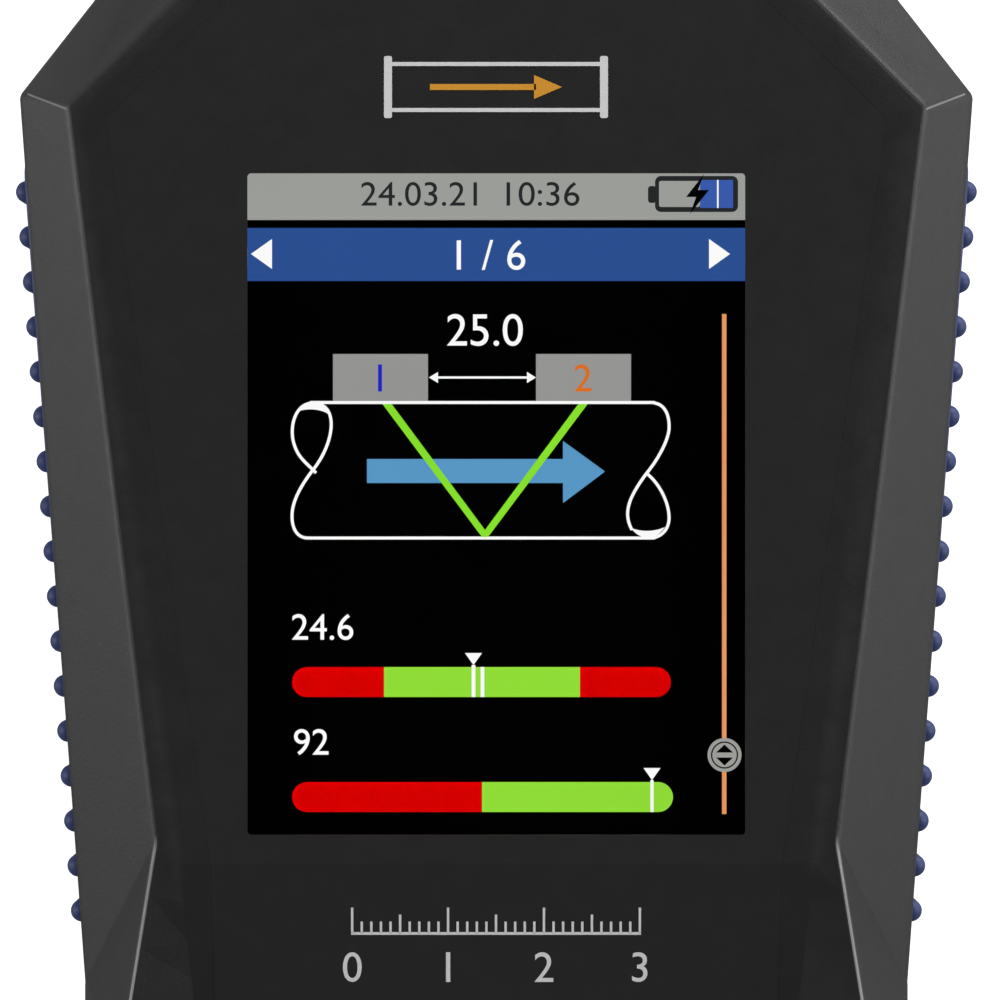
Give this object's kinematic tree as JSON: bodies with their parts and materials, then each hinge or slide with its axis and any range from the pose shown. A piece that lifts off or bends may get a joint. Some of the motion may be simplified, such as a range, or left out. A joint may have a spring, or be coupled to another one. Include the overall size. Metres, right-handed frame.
{
  "type": "ultrasonic flow meter",
  "caption": "Hand-held ultrasonic flow meter with a portrait colour display, nubbed side grips, pushed keys and sensor sockets.",
  "frame": {"origin": "under the centre of the whole box, on the rear face", "axes": "+Z out of the display, +Y towards the sensor sockets, +X to the right as the display is read"},
  "size_m": [0.085, 0.165, 0.032],
  "materials": {
    "case": "fine matt moulding",
    "grip": "satin soft plastic",
    "film": "matt film",
    "window": "clear",
    "screen": "lit picture",
    "white_plastic": "matt",
    "foam": "foam",
    "flex_film": "amber film",
    "board": "lacquered",
    "steel": "plated",
    "black_plastic": "matt",
    "battery_wrap": "shrink wrap",
    "lead_sleeve": "satin",
    "socket_blue": "satin",
    "socket_orange": "satin",
    "key": "matt moulding"
  },
  "bodies": {
    "housing": {"front_shell": "case", "rear_shell": "case", "grip_left": "grip", "grip_right": "grip", "face_overlay": "film", "display_window": "window", "display_gasket": "foam", "display_panel": "screen", "display_backlight": "white_plastic", "display_flex": "flex_film", "main_board": "board", "shield_can": "steel", "buzzer": "black_plastic", "backup_cell": "steel", "battery_connector": "white_plastic", "usb_socket": "steel", "battery_pack": "battery_wrap", "battery_pad": "foam", "battery_lead": "lead_sleeve", "socket_blue": "socket_blue", "socket_orange": "socket_orange", "socket_nut_blue": "steel", "socket_nut_orange": "steel", "socket_lead_blue": "lead_sleeve", "socket_lead_orange": "lead_sleeve", "case_screw_1": "steel", "case_screw_2": "steel", "case_screw_3": "steel", "case_screw_4": "steel", "board_screw_1": "steel", "board_screw_2": "steel", "board_screw_3": "steel", "board_screw_4": "steel", "switch_menu": "black_plastic", "switch_up": "black_plastic", "switch_back": "black_plastic", "switch_left": "black_plastic", "switch_ok": "black_plastic", "switch_right": "black_plastic", "switch_zero": "black_plastic", "switch_down": "black_plastic", "switch_power": "black_plastic"},
    "key_menu_body": {"key_menu": "key"},
    "key_up_body": {"key_up": "key"},
    "key_back_body": {"key_back": "key"},
    "key_left_body": {"key_left": "key"},
    "key_ok_body": {"key_ok": "key"},
    "key_right_body": {"key_right": "key"},
    "key_zero_body": {"key_zero": "key"},
    "key_down_body": {"key_down": "key"},
    "key_power_body": {"key_power": "key"}
  },
  "joints": [
    {"name": "key_menu_press", "type": "slide", "parent": "housing", "child": "key_menu_body", "axis": [0, 0, -1], "range_m": [0, 0.0005], "stiffness_N_per_m": 1500},
    {"name": "key_up_press", "type": "slide", "parent": "housing", "child": "key_up_body", "axis": [0, 0, -1], "range_m": [0, 0.0005], "stiffness_N_per_m": 1500},
    {"name": "key_back_press", "type": "slide", "parent": "housing", "child": "key_back_body", "axis": [0, 0, -1], "range_m": [0, 0.0005], "stiffness_N_per_m": 1500},
    {"name": "key_left_press", "type": "slide", "parent": "housing", "child": "key_left_body", "axis": [0, 0, -1], "range_m": [0, 0.0005], "stiffness_N_per_m": 1500},
    {"name": "key_ok_press", "type": "slide", "parent": "housing", "child": "key_ok_body", "axis": [0, 0, -1], "range_m": [0, 0.0005], "stiffness_N_per_m": 1500},
    {"name": "key_right_press", "type": "slide", "parent": "housing", "child": "key_right_body", "axis": [0, 0, -1], "range_m": [0, 0.0005], "stiffness_N_per_m": 1500},
    {"name": "key_zero_press", "type": "slide", "parent": "housing", "child": "key_zero_body", "axis": [0, 0, -1], "range_m": [0, 0.0005], "stiffness_N_per_m": 1500},
    {"name": "key_down_press", "type": "slide", "parent": "housing", "child": "key_down_body", "axis": [0, 0, -1], "range_m": [0, 0.0005], "stiffness_N_per_m": 1500},
    {"name": "key_power_press", "type": "slide", "parent": "housing", "child": "key_power_body", "axis": [0, 0, -1], "range_m": [0, 0.0005], "stiffness_N_per_m": 1500}
  ]
}
